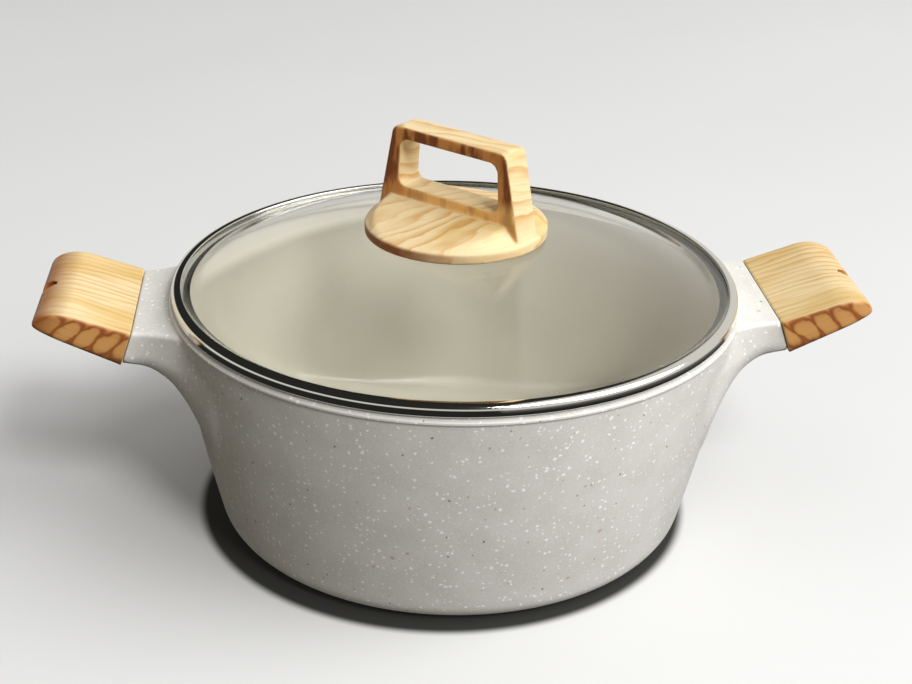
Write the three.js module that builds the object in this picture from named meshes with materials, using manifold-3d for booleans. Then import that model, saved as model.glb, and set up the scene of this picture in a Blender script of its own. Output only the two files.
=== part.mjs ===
// Two-handled casserole saucepan with a domed glass lid, built as it comes apart on a bench.
// Units are millimetres with +Z up. The origin is the middle of the pot's underside,
// +X runs out along one handle and the pot stands on Z = 0.

import * as THREE from 'three';
import { mergeVertices } from 'three/addons/utils/BufferGeometryUtils.js';
import Module from 'manifold-3d';

const wasm = await Module();
wasm.setup();

// ---- Driving dimensions -------------------------------------------------------------------

const clearance = 0.3; // air between pieces that touch or fit together
const overcut = 1; // how far a cutter runs past the face that it opens
const roundSides = 48; // flats round the pot and the lid
const smallSides = 24; // flats round the knob's screw, washer and gaskets
const tinySides = 16; // flats round the grip screws
const holeSides = 8; // flats round the holes in the induction plate
const cornerSteps = 4; // flats round the pot's bottom corner
const wallSteps = 6; // flats up the bowed wall
const domeSteps = 6; // flats from the shoulder of the glass to its hole

// Pot body, cast aluminium
const rimRadius = 123; // outside of the rolled rim
const potHeight = 104; // table to rim
const wallThickness = 3;
const floorThickness = 4.5;
const footRadius = 94; // flat ring that the pot stands on
const cornerRadius = 11; // outside corner between foot and wall
const wallFlare = THREE.MathUtils.degToRad(13.5); // lean of the wall just above the corner
const rimBead = 0.8; // how far the rim stands proud of the wall
const rimDepth = 3.2; // height of that bead
const beadSlope = 1.2; // height over which the wall swells out to the bead
const rimRound = 0.8; // bevel on the bead's top edge

// Induction plate, pressed into the underside
const plateRadius = 80;
const plateThickness = 1.2;
const plateHoleRadius = 3.2;
const plateHoleRings = [[26, 6], [46, 12], [66, 18]]; // ring radius and number of holes

// Lugs, cast with the body, and the tangs that carry the grips
const lugReach = 16; // rim to seam between lug and grip
const seamDrop = 11.4; // rim down to the middle of the seam
const handleTilt = THREE.MathUtils.degToRad(19); // upward lean of each grip
const lugHalfWidth = 34;
const lugRootHalfWidth = 54; // half width of the flare inside the wall
const lugRootInset = 19; // rim in to the start of the flare, inside the wall
const lugUpper = 8; // middle of the seam to its top edge
const lugLower = 7.5; // middle of the seam to its lower edge
const lugRootDepth = 56; // rim down to the foot of the gusset, inside the wall
const lugRootRise = 1.6; // top of the lug above the bead's foot, inside the wall
const gussetReach = 14; // how far out of its root the gusset starts to level off
const gussetSag = 5; // how far below the seam it does so
const gussetRound = 26; // corner under the lug at its root
const lugRound = 4; // corner under the lug at the seam
const lugEdge = 1; // corner along the lug's top
const flareTuck = 1.5; // waist of the flare inside the lug's width
const tangLength = 27;
const tangHalfWidth = 14;
const tangThickness = 5.5;
const tangRise = 1.6; // tang and screw axis above the middle of the seam
const tangRoot = 6; // length of tang buried in the lug
const tapRunOut = 2; // tapped hole past the screw's tip

// Grips, moulded sleeves on the tangs
const gripLength = 40;
const gripHalfWidth = 35;
const gripTaper = 0.117; // rise of the underside for each millimetre outward
const gripRoll = 16; // length over which the top rolls down to the end
const gripEndHeight = 1.2; // thickness left at the outer edge
const gripNarrowing = 4.5; // loss of half width over the rolled end
const gripEdge = 1.4; // corner along the top
const gripBelly = 3; // corner along the underside

// Grip screws and their washers
const gripScrewRadius = 2;
const gripScrewLength = 14; // engagement in the tang
const gripHeadRadius = 3.1;
const gripHeadHeight = 2.6;
const gripWebThickness = 3.2; // grip wall that the screw clamps
const gripWasherThickness = 0.8;
const gripRecessPlay = 0.4; // recess round the screw head
const gripDrive = [4.4, 1]; // length and width of the cross recess in the head

// Glass and its rim band
const glassThickness = 3.2;
const domeRise = 25; // flat edge of the glass up to the crown
const glassFlange = 9; // width of the flat edge
const glassChamfer = 1.6; // ground corner at the edge
const glassHoleRadius = 4.5;
const glassShoulder = 3; // half width of the bend between the flat edge and the dome
const bandThickness = 0.7;
const bandInset = 1; // band inside the rim, seen from above
const bandTopWidth = 4.2;
const bandUnderWidth = 8.3;
const bandSkirtDepth = 4.8; // skirt that keeps the lid centred in the rim
const skirtPlay = 0.8; // free play between skirt and rim
const bandRoll = 2.2; // radius of the fold over the top

// Knob, moulded in one piece with its finger loop
const knobTurn = THREE.MathUtils.degToRad(-43); // loop against the handles
const knobBaseRadius = 39.2;
const knobRimHeight = 4.6; // edge of the base
const knobRimBevel = 1.2; // bevel along the top of that edge
const knobFootBevel = 1; // bevel along its foot
const knobShoulder = 11.6; // foot of the base up to the loop's lower edge
const knobHeight = 42.3;
const loopHalfLength = 29.9; // at the top
const loopSpread = 6.4; // extra half length at the shoulder
const loopHalfWidth = 7;
const loopFlare = 0.3; // extra half width where the loop meets the base
const loopCorner = 2.5; // upright corners of the loop
const loopBevel = 3; // height of the bevel round the top
const windowHalfLength = 25.3;
const windowLow = 16.2; // foot of the base up to the window
const windowHeight = 20.6;
const windowRadius = 4;
const knobShell = 4.5; // wall of the hollow under the base
const knobHollowDepth = 4.6;
const bossRadius = 9;
const cutterDepth = 30; // depth below the crown of the cutters that hollow the base

// Knob screw, insert, washer and gaskets
const knobScrewRadius = 2.5;
const knobHeadRadius = 5;
const knobHeadHeight = 2.8;
const insertRadius = 4.7;
const insertLength = 7;
const gasketRadius = 9.4;
const gasketThickness = 1;
const washerRadius = 8.5;
const washerThickness = 1;
const knobDrive = [5.6, 1.2]; // length and width of the cross recess in the head
const threadEnd = 0.5; // shank short of the insert's far end, or run into a head

// ---- Sizes that follow from the driving dimensions ----------------------------------------

const rimInnerRadius = rimRadius - wallThickness;
const wallTop = potHeight - rimDepth;
const seam = new THREE.Vector3(rimRadius + lugReach, 0, potHeight - seamDrop);
const bandOuterRadius = rimRadius - bandInset;
const bandBottom = potHeight + clearance;
const glassEdgeRadius = bandOuterRadius - bandThickness - clearance;
const glassEdgeBottom = bandBottom + bandThickness + clearance;
const glassEdgeTop = glassEdgeBottom + glassThickness;
const bandTop = glassEdgeTop + clearance + bandThickness;
const domeRadius = glassEdgeRadius - glassFlange;
const domeSphere = (domeRadius ** 2 + domeRise ** 2) / (2 * domeRise);
const crown = glassEdgeTop + domeRise;
const skirtFoot = bandBottom - bandSkirtDepth;
const bossFoot = crown + gasketThickness + 2 * clearance;
const knobFoot = domeHeight(knobBaseRadius) + clearance;

// Height of the outside of the glass at a distance from the lid's axis.
function domeHeight(radius) {
  return crown - domeSphere + Math.sqrt(domeSphere ** 2 - radius ** 2);
}

// ---- Solids -------------------------------------------------------------------------------

// Turns a closed BufferGeometry into a manifold solid, without zero-area triangles.
function solid(geometry) {
  const bare = geometry.clone();
  bare.deleteAttribute('normal');
  bare.deleteAttribute('uv');
  const merged = mergeVertices(bare, 1e-4);
  const corners = merged.index.array;
  const triangles = [];
  for (let i = 0; i < corners.length; i += 3) {
    const [a, b, c] = corners.slice(i, i + 3);
    if (a !== b && b !== c && c !== a) {
      triangles.push(a, b, c);
    }
  }
  const mesh = new wasm.Mesh({
    numProp: 3,
    vertProperties: new Float32Array(merged.attributes.position.array),
    triVerts: new Uint32Array(triangles),
  });
  return new wasm.Manifold(mesh);
}

// Turns a manifold solid into a named mesh of its own material.
function part(name, body, material) {
  const mesh = body.getMesh();
  const geometry = new THREE.BufferGeometry();
  geometry.setAttribute('position', new THREE.BufferAttribute(mesh.vertProperties, 3));
  geometry.setIndex(new THREE.BufferAttribute(mesh.triVerts, 1));
  geometry.computeVertexNormals();
  const node = new THREE.Mesh(geometry, material);
  node.name = name;
  return node;
}

// Revolves an outline of [radius, height] points about Z. The outline runs up its outer side.
function revolve(outline, sides) {
  const points = outline.map(([radius, height]) => new THREE.Vector2(radius, height));
  return solid(new THREE.LatheGeometry(points, sides).rotateX(Math.PI / 2));
}

// A ring of rectangular section about Z.
function ring(innerRadius, outerRadius, bottom, top, sides = smallSides) {
  const outline = [
    [innerRadius, bottom],
    [outerRadius, bottom],
    [outerRadius, top],
    [innerRadius, top],
    [innerRadius, bottom],
  ];
  return revolve(outline, sides);
}

// A plain cylinder about Z.
function rod(radius, bottom, top, sides = smallSides) {
  return revolve([[0, bottom], [radius, bottom], [radius, top], [0, top]], sides);
}

// A box between two corners.
function block(low, high) {
  const size = high.map((value, axis) => value - low[axis]);
  const middle = high.map((value, axis) => (value + low[axis]) / 2);
  return solid(new THREE.BoxGeometry(...size).translate(...middle));
}

// A closed solid through rings of points, every ring with the same number of points.
// Each ring runs counter-clockwise seen from the far end of the stack, and both ends are convex.
function loft(rings) {
  const count = rings[0].length;
  const points = rings.flat();
  const triangles = [];
  for (let level = 0; level < rings.length - 1; level += 1) {
    for (let i = 0; i < count; i += 1) {
      const a = level * count + i;
      const b = level * count + (i + 1) % count;
      triangles.push(a, b, b + count, a, b + count, a + count);
    }
  }
  const last = (rings.length - 1) * count;
  for (let i = 1; i < count - 1; i += 1) {
    triangles.push(0, i + 1, i);
    triangles.push(last, last + i, last + i + 1);
  }
  const geometry = new THREE.BufferGeometry().setFromPoints(points);
  geometry.setIndex(triangles);
  return solid(geometry);
}

// Points of a rounded rectangle in the plane, counter-clockwise, with steps + 1 points a corner.
// Corner radii start at the corner with both coordinates positive.
function roundedRectangle(halfLength, low, high, radii, steps) {
  const corners = [[halfLength, high], [-halfLength, high], [-halfLength, low], [halfLength, low]];
  const inward = [[-1, -1], [1, -1], [1, 1], [-1, 1]];
  const points = [];
  corners.forEach(([x, y], corner) => {
    const radius = radii[corner];
    const centreX = x + inward[corner][0] * radius;
    const centreY = y + inward[corner][1] * radius;
    for (let step = 0; step <= steps; step += 1) {
      const angle = (corner + step / steps) * Math.PI / 2;
      points.push([centreX + radius * Math.cos(angle), centreY + radius * Math.sin(angle)]);
    }
  });
  return points;
}

// Points of a circular arc in an outline, from one angle to another in degrees.
function arc(centreRadius, centreHeight, radius, from, to, steps) {
  const points = [];
  for (let step = 0; step <= steps; step += 1) {
    const angle = THREE.MathUtils.degToRad(from + (to - from) * step / steps);
    points.push([centreRadius + radius * Math.cos(angle), centreHeight + radius * Math.sin(angle)]);
  }
  return points;
}

// Points along a quadratic curve in an outline, both ends included.
function bend(start, control, end, steps) {
  const ends = [start, control, end].map(([x, y]) => new THREE.Vector2(x, y));
  return new THREE.QuadraticBezierCurve(...ends).getPoints(steps).map(({ x, y }) => [x, y]);
}

// ---- Pot body -----------------------------------------------------------------------------

// The wall seen in section: round corner, gently bowed wall, and the rim bead or its inside.
function wallOutline(inset) {
  const radius = cornerRadius - inset;
  const lean = THREE.MathUtils.radToDeg(wallFlare);
  const corner = arc(footRadius, cornerRadius, radius, -90, -lean, cornerSteps);
  const foot = corner.pop();
  const top = [rimRadius - rimBead - inset, wallTop];
  const rise = (top[1] - foot[1]) / 2;
  const control = [foot[0] + rise * Math.tan(wallFlare), foot[1] + rise];
  return [...corner, ...bend(foot, control, top, wallSteps)];
}

function outerSolid() {
  const outline = [
    [0, 0],
    ...wallOutline(0),
    [rimRadius, wallTop + beadSlope],
    [rimRadius, potHeight - rimRound],
    [rimRadius - rimRound, potHeight],
    [0, potHeight],
  ];
  return revolve(outline, roundSides);
}

// The inside of the pot. Its top is upright for as far down as the lid's skirt reaches.
function cavity() {
  const lift = floorThickness - wallThickness;
  const inner = wallOutline(wallThickness);
  const outline = [
    [0, floorThickness],
    ...inner.slice(0, cornerSteps).map(([radius, height]) => [radius, height + lift]),
    ...inner.slice(cornerSteps, -1),
    [rimInnerRadius, skirtFoot - clearance],
    [rimInnerRadius, potHeight + overcut],
    [0, potHeight + overcut],
  ];
  return revolve(outline, roundSides);
}

// Placement of everything built along a tilted handle: its X axis leaves the seam outward.
function handleMatrix() {
  const matrix = new THREE.Matrix4().makeRotationY(-handleTilt);
  return matrix.setPosition(seam);
}

// One lug: a gusset that flares into the wall at its root and ends square at the seam.
function lug() {
  const seamTop = new THREE.Vector3(0, 0, lugUpper).applyMatrix4(handleMatrix());
  const seamLow = new THREE.Vector3(0, 0, -lugLower).applyMatrix4(handleMatrix());
  const rootX = rimRadius - lugRootInset;
  const steps = 7;
  const under = bend(
    [rootX, potHeight - lugRootDepth],
    [rootX + gussetReach, seamLow.z - gussetSag],
    [seamLow.x, seamLow.z],
    steps,
  );
  const over = bend(
    [rootX, wallTop + lugRootRise],
    [rimRadius - rimBead, seamTop.z],
    [seamTop.x, seamTop.z],
    steps,
  );
  const waist = lugHalfWidth - flareTuck;
  const flare = bend([0, lugRootHalfWidth], [0, waist], [1, lugHalfWidth], steps);
  const rings = under.map(([lowX, lowZ], step) => {
    const [highX, highZ] = over[step];
    const height = highZ - lowZ;
    const share = step / steps;
    const lowerRadius = THREE.MathUtils.lerp(gussetRound, lugRound, share);
    const radii = [lugEdge, lugEdge, lowerRadius, lowerRadius];
    const section = roundedRectangle(flare[step][1], 0, height, radii, 4);
    return section.map(([y, rise]) => {
      const x = THREE.MathUtils.lerp(lowX, highX, rise / height);
      return new THREE.Vector3(x, y, lowZ + rise);
    });
  });
  return loft(rings);
}

// The tongue that each grip slides onto.
function tang() {
  const low = tangRise - tangThickness / 2;
  const high = tangRise + tangThickness / 2;
  return block([-tangRoot, -tangHalfWidth, low], [tangLength, tangHalfWidth, high]);
}

// A cylinder along the handle's own X axis, at the height of the screw.
function alongHandle(radius, from, to) {
  const cylinder = rod(radius, from, to, tinySides);
  return cylinder.rotate([0, 90, 0]).translate([0, 0, tangRise]);
}

function placeOnHandle(body) {
  return body.transform(handleMatrix().elements);
}

function potBody() {
  const tapEnd = tangLength - gripScrewLength - tapRunOut;
  const tapHole = alongHandle(gripScrewRadius + clearance, tapEnd, tangLength + overcut);
  const handle = lug().add(placeOnHandle(tang())).subtract(placeOnHandle(tapHole));
  const plateRecess = rod(plateRadius + clearance, -overcut, plateThickness + clearance, roundSides);
  return outerSolid()
    .add(handle)
    .add(handle.rotate([0, 0, 180]))
    .subtract(cavity())
    .subtract(plateRecess);
}

function inductionPlate() {
  let plate = rod(plateRadius, 0, plateThickness, roundSides);
  for (const [ringRadius, count] of plateHoleRings) {
    for (let hole = 0; hole < count; hole += 1) {
      const angle = 2 * Math.PI * hole / count;
      const x = ringRadius * Math.cos(angle);
      const y = ringRadius * Math.sin(angle);
      const cutter = rod(plateHoleRadius, -overcut, plateThickness + overcut, holeSides);
      plate = plate.subtract(cutter.translate([x, y, 0]));
    }
  }
  return plate;
}

// ---- Handles ------------------------------------------------------------------------------

// One grip in the handle's own frame: a wedge whose top rolls down to a thin outer edge.
function grip() {
  const rollStart = gripLength - gripRoll;
  const under = (x) => -lugLower + gripTaper * x;
  const rollSteps = 5;
  const stations = [[clearance, lugUpper, gripHalfWidth], [rollStart / 2, lugUpper, gripHalfWidth]];
  const endTop = under(gripLength) + gripEndHeight;
  for (let step = 0; step <= rollSteps; step += 1) {
    const angle = step / rollSteps * Math.PI / 2;
    const top = endTop + (lugUpper - endTop) * Math.cos(angle);
    const width = gripHalfWidth - gripNarrowing * (1 - Math.cos(angle));
    stations.push([rollStart + gripRoll * Math.sin(angle), top, width]);
  }
  const rings = stations.map(([x, top, width]) => {
    const height = top - under(x);
    const edge = Math.min(gripEdge, height * 0.3);
    const belly = Math.min(gripBelly, height * 0.45);
    const section = roundedRectangle(width, 0, height, [edge, edge, belly, belly], 3);
    return section.map(([y, rise]) => new THREE.Vector3(x, y, under(x) + rise));
  });
  const slotLow = tangRise - tangThickness / 2 - clearance;
  const slotHigh = tangRise + tangThickness / 2 + clearance;
  const slotEnd = tangLength + clearance;
  const slotWidth = tangHalfWidth + clearance;
  const slot = block([-overcut, -slotWidth, slotLow], [slotEnd, slotWidth, slotHigh]);
  const recessStart = slotEnd + gripWebThickness;
  return loft(rings)
    .subtract(slot)
    .subtract(alongHandle(gripScrewRadius + clearance, slotEnd - overcut, recessStart + overcut))
    .subtract(alongHandle(gripHeadRadius + gripRecessPlay, recessStart, gripLength + gripRoll));
}

// A low domed screw head with a cross recess, its top facing +Z.
function screwHead(radius, height, [driveLength, driveWidth]) {
  const half = driveLength / 2;
  const side = driveWidth / 2;
  const driveFoot = height * 0.45;
  const rim = [radius, height * 0.45];
  const shoulder = [radius * 0.8, height * 0.85];
  const domed = revolve([[0, 0], [radius, 0], rim, shoulder, [0, height]], smallSides);
  return domed
    .subtract(block([-half, -side, driveFoot], [half, side, height + overcut]))
    .subtract(block([-side, -half, driveFoot], [side, half, height + overcut]));
}

function gripScrew() {
  const seat = tangLength + clearance + gripWebThickness + gripWasherThickness + 2 * clearance;
  const tip = tangLength - gripScrewLength;
  const shank = rod(gripScrewRadius, tip, seat + threadEnd, tinySides);
  const head = screwHead(gripHeadRadius, gripHeadHeight, gripDrive).translate([0, 0, seat]);
  return shank.add(head).rotate([0, 90, 0]).translate([0, 0, tangRise]);
}

function gripWasher() {
  const start = tangLength + gripWebThickness + 2 * clearance;
  const bore = gripScrewRadius + clearance;
  const washer = ring(bore, gripHeadRadius, start, start + gripWasherThickness, tinySides);
  return washer.rotate([0, 90, 0]).translate([0, 0, tangRise]);
}

// ---- Lid ----------------------------------------------------------------------------------

function glassLid() {
  const upper = [];
  const lower = [];
  for (let step = 0; step <= domeSteps; step += 1) {
    const share = step / domeSteps;
    const radius = THREE.MathUtils.lerp(domeRadius - glassShoulder, glassHoleRadius, share);
    upper.push([radius, domeHeight(radius)]);
    lower.unshift([radius, domeHeight(radius) - glassThickness]);
  }
  const outline = [
    ...lower,
    [domeRadius + glassShoulder, glassEdgeBottom],
    [glassEdgeRadius, glassEdgeBottom],
    [glassEdgeRadius, glassEdgeTop - glassChamfer],
    [glassEdgeRadius - glassChamfer, glassEdgeTop],
    [domeRadius + glassShoulder, glassEdgeTop],
    ...upper,
    lower[0],
  ];
  return revolve(outline, roundSides);
}

// Folded stainless band: a channel round the edge of the glass with a skirt below it.
function rimBand() {
  const inner = bandOuterRadius - bandThickness;
  const topInner = bandOuterRadius - bandTopWidth;
  const underInner = bandOuterRadius - bandUnderWidth;
  const skirtOuter = rimInnerRadius - skirtPlay;
  const skirtInner = skirtOuter - bandThickness;
  const outline = [
    [skirtInner, bandBottom],
    [skirtInner, skirtFoot],
    [skirtOuter, skirtFoot],
    [skirtOuter, bandBottom],
    [inner, bandBottom],
    [bandOuterRadius, bandBottom + bandThickness],
    ...arc(bandOuterRadius - bandRoll, bandTop - bandRoll, bandRoll, 0, 90, 3),
    [topInner, bandTop],
    [topInner, bandTop - bandThickness],
    [glassEdgeRadius - glassChamfer, bandTop - bandThickness],
    [inner, glassEdgeTop - glassChamfer],
    [inner, bandBottom + bandThickness],
    [underInner, bandBottom + bandThickness],
    [underInner, bandBottom],
    [skirtInner, bandBottom],
  ];
  return revolve(outline, roundSides);
}

// ---- Knob ---------------------------------------------------------------------------------

// Half length of the loop at a height above the foot of the knob.
function loopLength(height) {
  const share = (knobHeight - height) / (knobHeight - knobShoulder);
  return loopHalfLength + loopSpread * share;
}

// One level of the knob: a rectangle with round corners, or a disc where all its sizes are alike.
function knobLevel(height, halfLength, halfWidth, radius) {
  const level = roundedRectangle(halfLength, -halfWidth, halfWidth, Array(4).fill(radius), 9);
  return level.map(([x, y]) => new THREE.Vector3(x, y, knobFoot + height));
}

function knob() {
  const base = knobBaseRadius;
  const edge = base - knobFootBevel;
  const flareTop = knobShoulder + 2 * loopCorner;
  const bevelFoot = knobHeight - loopBevel;
  const bevelWaist = knobHeight - loopBevel / 3;
  const body = loft([
    knobLevel(-overcut, edge, edge, edge),
    knobLevel(knobFootBevel - overcut / 2, base, base, base),
    knobLevel(knobRimHeight - knobRimBevel, base, base, base),
    knobLevel(knobRimHeight, edge, edge, edge),
    knobLevel(knobShoulder, loopLength(knobShoulder), loopHalfWidth + loopFlare, loopCorner),
    knobLevel(flareTop, loopLength(flareTop), loopHalfWidth, loopCorner),
    knobLevel(bevelFoot, loopLength(bevelFoot), loopHalfWidth, loopCorner),
    knobLevel(bevelWaist, loopHalfLength - 0.3 * loopBevel, loopHalfWidth - 0.5, loopCorner - 0.3),
    knobLevel(knobHeight, loopHalfLength - 0.9 * loopBevel, loopHalfWidth - 1.6, loopCorner - 0.9),
  ]);
  const outline = roundedRectangle(windowHalfLength, windowLow, windowLow + windowHeight,
    Array(4).fill(windowRadius), 4);
  const shape = new THREE.Shape(outline.map(([x, y]) => new THREE.Vector2(x, y)));
  const depth = 2 * (loopHalfWidth + loopFlare + overcut);
  const prism = new THREE.ExtrudeGeometry(shape, { depth, bevelEnabled: false });
  const window = solid(prism.translate(0, 0, -depth / 2).rotateX(Math.PI / 2).translate(0, 0, knobFoot));
  const roof = knobFoot + knobHollowDepth;
  const cutterFoot = crown - cutterDepth;
  const hollow = ring(bossRadius, knobBaseRadius - knobShell, cutterFoot, roof, roundSides);
  const underBoss = rod(bossRadius + overcut, cutterFoot, bossFoot);
  const seat = revolve(domeCutter(), roundSides);
  const pocketTop = bossFoot + insertLength + 2 * clearance;
  const pocket = rod(insertRadius + clearance, bossFoot - overcut, pocketTop);
  return body
    .subtract(window)
    .subtract(seat)
    .subtract(hollow)
    .subtract(underBoss)
    .subtract(pocket);
}

// Outline of everything that lies below the glass, with a clearance on top of it.
function domeCutter() {
  const edge = knobBaseRadius + overcut;
  const steps = 5;
  const outline = [[0, crown - cutterDepth], [edge, crown - cutterDepth]];
  for (let step = 0; step <= steps; step += 1) {
    const radius = edge * (1 - step / steps);
    outline.push([radius, domeHeight(radius) + clearance]);
  }
  return outline;
}

// Pieces on the knob's screw, stacked along the lid's axis from the insert down to the head.
function knobFixings() {
  const glassUnder = crown - glassThickness;
  const lowerTop = glassUnder - 1.5 * clearance; // the dome falls away across the washer
  const lowerFoot = lowerTop - gasketThickness;
  const washerTop = lowerFoot - clearance;
  const washerFoot = washerTop - washerThickness;
  const headTop = washerFoot - clearance;
  const bore = knobScrewRadius + clearance;
  const insertFoot = bossFoot + clearance;
  const sleeve = ring(bore, glassHoleRadius - clearance, lowerFoot, crown - clearance);
  const flange = ring(bore, gasketRadius, lowerFoot, lowerTop);
  const insertTop = insertFoot + insertLength;
  const upperFoot = crown + clearance;
  const head = screwHead(knobHeadRadius, knobHeadHeight, knobDrive).rotate([180, 0, 0]);
  const shank = rod(knobScrewRadius, headTop - threadEnd, insertTop - threadEnd, tinySides);
  return {
    insert: ring(bore, insertRadius, insertFoot, insertTop),
    upperGasket: ring(glassHoleRadius, bossRadius - clearance, upperFoot, upperFoot + gasketThickness),
    lowerGasket: flange.add(sleeve),
    washer: ring(bore, washerRadius, washerFoot, washerTop),
    screw: shank.add(head.translate([0, 0, headTop])),
  };
}

// ---- Materials ----------------------------------------------------------------------------

function finish(color, roughness, metalness) {
  return new THREE.MeshStandardMaterial({ color, roughness, metalness });
}

const coating = finish(0xb9b7b2, 0.55, 0);
const stainless = finish(0xc9cacb, 0.22, 1);
const brushed = finish(0xb4b6b8, 0.38, 1);
const woodLook = finish(0xd8b272, 0.5, 0);
const brass = finish(0xc9a24f, 0.35, 1);
const silicone = finish(0xd9d8d4, 0.8, 0);
const glass = finish(0xe2ebe6, 0.04, 0);
glass.transparent = true;
glass.opacity = 0.35;

// ---- Assembly -----------------------------------------------------------------------------

const saucepan = new THREE.Group();
saucepan.add(part('pot_body', potBody(), coating));
saucepan.add(part('induction_base_plate', inductionPlate(), brushed.clone()));

for (const [side, turn] of [['right', 0], ['left', Math.PI]]) {
  const arm = new THREE.Group();
  arm.rotation.z = turn;
  const handle = new THREE.Group();
  handle.position.copy(seam);
  handle.rotation.y = -handleTilt;
  handle.add(part(`${side}_grip`, grip(), woodLook.clone()));
  handle.add(part(`${side}_grip_screw`, gripScrew(), brushed.clone()));
  handle.add(part(`${side}_grip_washer`, gripWasher(), brushed.clone()));
  arm.add(handle);
  saucepan.add(arm);
}

const lid = new THREE.Group();
lid.add(part('glass_lid', glassLid(), glass));
lid.add(part('lid_rim_band', rimBand(), stainless));
const knobGroup = new THREE.Group();
knobGroup.rotation.z = knobTurn;
const fixings = knobFixings();
knobGroup.add(part('knob', knob(), woodLook.clone()));
knobGroup.add(part('knob_insert', fixings.insert, brass));
knobGroup.add(part('knob_upper_gasket', fixings.upperGasket, silicone));
knobGroup.add(part('knob_lower_gasket', fixings.lowerGasket, silicone.clone()));
knobGroup.add(part('knob_washer', fixings.washer, brushed.clone()));
knobGroup.add(part('knob_screw', fixings.screw, brushed.clone()));
lid.add(knobGroup);
saucepan.add(lid);

export default saucepan;
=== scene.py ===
"""Two-handled casserole with a domed glass lid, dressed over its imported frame. Lengths are metres."""

import math

import bpy
import numpy as np
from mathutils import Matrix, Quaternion, Vector


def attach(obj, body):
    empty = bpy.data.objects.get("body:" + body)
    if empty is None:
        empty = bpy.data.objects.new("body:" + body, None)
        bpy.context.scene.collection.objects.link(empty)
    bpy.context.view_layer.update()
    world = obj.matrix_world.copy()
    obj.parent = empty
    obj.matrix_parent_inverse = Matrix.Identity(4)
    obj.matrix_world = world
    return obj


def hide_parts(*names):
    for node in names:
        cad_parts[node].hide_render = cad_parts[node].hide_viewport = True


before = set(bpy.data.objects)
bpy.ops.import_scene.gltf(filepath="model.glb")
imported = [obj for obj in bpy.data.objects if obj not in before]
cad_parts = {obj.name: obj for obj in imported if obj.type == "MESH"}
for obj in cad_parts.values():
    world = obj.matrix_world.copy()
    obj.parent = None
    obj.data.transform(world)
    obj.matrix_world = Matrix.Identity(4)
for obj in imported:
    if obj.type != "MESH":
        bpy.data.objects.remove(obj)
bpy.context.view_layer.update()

# ---- Studio --------------------------------------------------------------------------------
# A camera a little above the lid, a pale matt floor with a painted contact shadow where the pot
# touches it, a soft light in front on the right, a wider one at the right, and a room that polished
# steel mirrors as pale along its walls and dark above.

MM = 0.001
camera_aim = Vector((1.0, 0.0, 77.4)) * MM
camera_distance = 730.7 * MM
camera_elevation = math.radians(25.57)
camera_turn = math.radians(5.38)
camera_roll = math.radians(1.27)
camera_lens = 65.13
light_distance = 3.5
floor_half = 9.0
floor_pale = (0.575, 0.575, 0.57, 1)
floor_paler = (0.62, 0.62, 0.615, 1)
contact_shade = (0.01, 0.01, 0.008, 1)
contact_middle = (-4 * MM, 0, 0)
contact_inner = 107 * MM
contact_outer = 112.5 * MM


class Wire:
    """One output of a node. Sums on wires add Math nodes to the same tree."""

    def __init__(self, web, socket):
        self.web = web
        self.socket = socket

    def math(self, operation, *values):
        return self.web.add("ShaderNodeMath", {"operation": operation}, dict(enumerate(values)))

    def __add__(self, other):
        return self.math("ADD", self, other)

    def __sub__(self, other):
        return self.math("SUBTRACT", self, other)

    def __rsub__(self, other):
        return self.math("SUBTRACT", other, self)

    def __mul__(self, other):
        return self.math("MULTIPLY", self, other)

    def __truediv__(self, other):
        return self.math("DIVIDE", self, other)

    def __gt__(self, other):
        return self.math("GREATER_THAN", self, other)

    def __lt__(self, other):
        return self.math("LESS_THAN", self, other)

    __radd__ = __add__
    __rmul__ = __mul__

    def between(self, low, high):
        """0 at low, 1 at high and clamped outside them."""
        settings = {"interpolation_type": "SMOOTHSTEP"}
        return self.web.add("ShaderNodeMapRange", settings, {0: self, 1: low, 2: high})


class Web:
    """A node tree under construction."""

    def __init__(self, tree):
        self.tree = tree
        tree.nodes.clear()

    def add(self, kind, settings=None, sockets=None, output=0):
        """Adds a node, makes its settings, then fills its sockets with values or wires."""
        node = self.tree.nodes.new(kind)
        for name, value in (settings or {}).items():
            if name == "stops":
                ramp = node.color_ramp.elements
                ramp.remove(ramp[1])
                ramp[0].position, ramp[0].color = value[0]
                for position, colour in value[1:]:
                    ramp.new(position).color = colour
            else:
                setattr(node, name, value)
        for key, value in (sockets or {}).items():
            socket = node.inputs[key]
            for source in value if isinstance(value, list) else [value]:
                if isinstance(source, Wire):
                    self.tree.links.new(source.socket, socket)
                else:
                    socket.default_value = source
        return Wire(self, node.outputs[output]) if node.outputs else None

    def mix(self, amount, first, second):
        """Colour between first and second."""
        sockets = {0: amount, 6: first, 7: second}
        return self.add("ShaderNodeMix", {"data_type": "RGBA"}, sockets, output=2)

    def noise(self, place, scale, detail=2.0, output=0):
        """Soft noise: output 0 is a number, output 1 a colour."""
        sockets = {"Vector": place, "Scale": scale, "Detail": detail}
        return self.add("ShaderNodeTexNoise", None, sockets, output)

    def stretched(self, place, x, y, z):
        """Coordinates multiplied by one factor along each axis."""
        sockets = {"Vector": place, "Scale": (x, y, z)}
        return self.add("ShaderNodeMapping", {"vector_type": "POINT"}, sockets)

    def bump(self, height, strength, distance):
        """A Normal that leans with a height."""
        sockets = {"Height": height, "Strength": strength, "Distance": distance}
        return self.add("ShaderNodeBump", None, sockets)


def finish(name):
    """A new material and the web of its empty node tree."""
    material = bpy.data.materials.new(name)
    material.use_nodes = True
    return material, Web(material.node_tree)


def coat(web, **sockets):
    """Ends a material in a Principled shader with these sockets."""
    named = {key.replace("_", " "): value for key, value in sockets.items()}
    shader = web.add("ShaderNodeBsdfPrincipled", None, named)
    web.add("ShaderNodeOutputMaterial", None, {"Surface": shader})


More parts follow.
